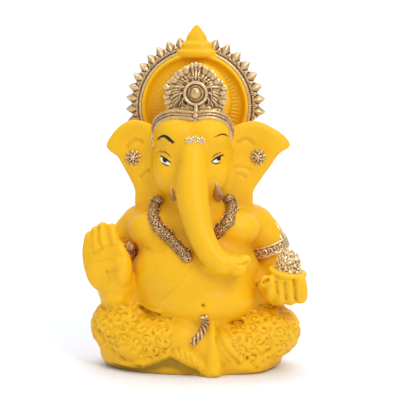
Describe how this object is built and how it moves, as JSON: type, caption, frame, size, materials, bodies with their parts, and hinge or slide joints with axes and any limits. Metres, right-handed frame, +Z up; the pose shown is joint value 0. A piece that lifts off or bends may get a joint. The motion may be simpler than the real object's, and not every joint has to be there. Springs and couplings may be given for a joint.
{
  "type": "ganesha statue",
  "caption": "Small seated elephant-headed figure with a raised palm, a tray of sweets, a leaf crown and a round spiked halo, cast in one piece with a flat underside.",
  "frame": {"origin": "on the flat underside, below the middle of the figure", "axes": "+Z up through the finial, -Y the way the figure faces, +X to the side of the hand with the tray"},
  "size_m": [0.0986, 0.0612, 0.1498],
  "materials": {
    "yellow_paint": "satin yellow paint over cast plaster",
    "gold_paint": "dull gold paint on the raised ornaments",
    "eye_paint": "black and white paint strokes"
  },
  "bodies": {
    "root": {"statue": "yellow_paint"}
  },
  "joints": []
}
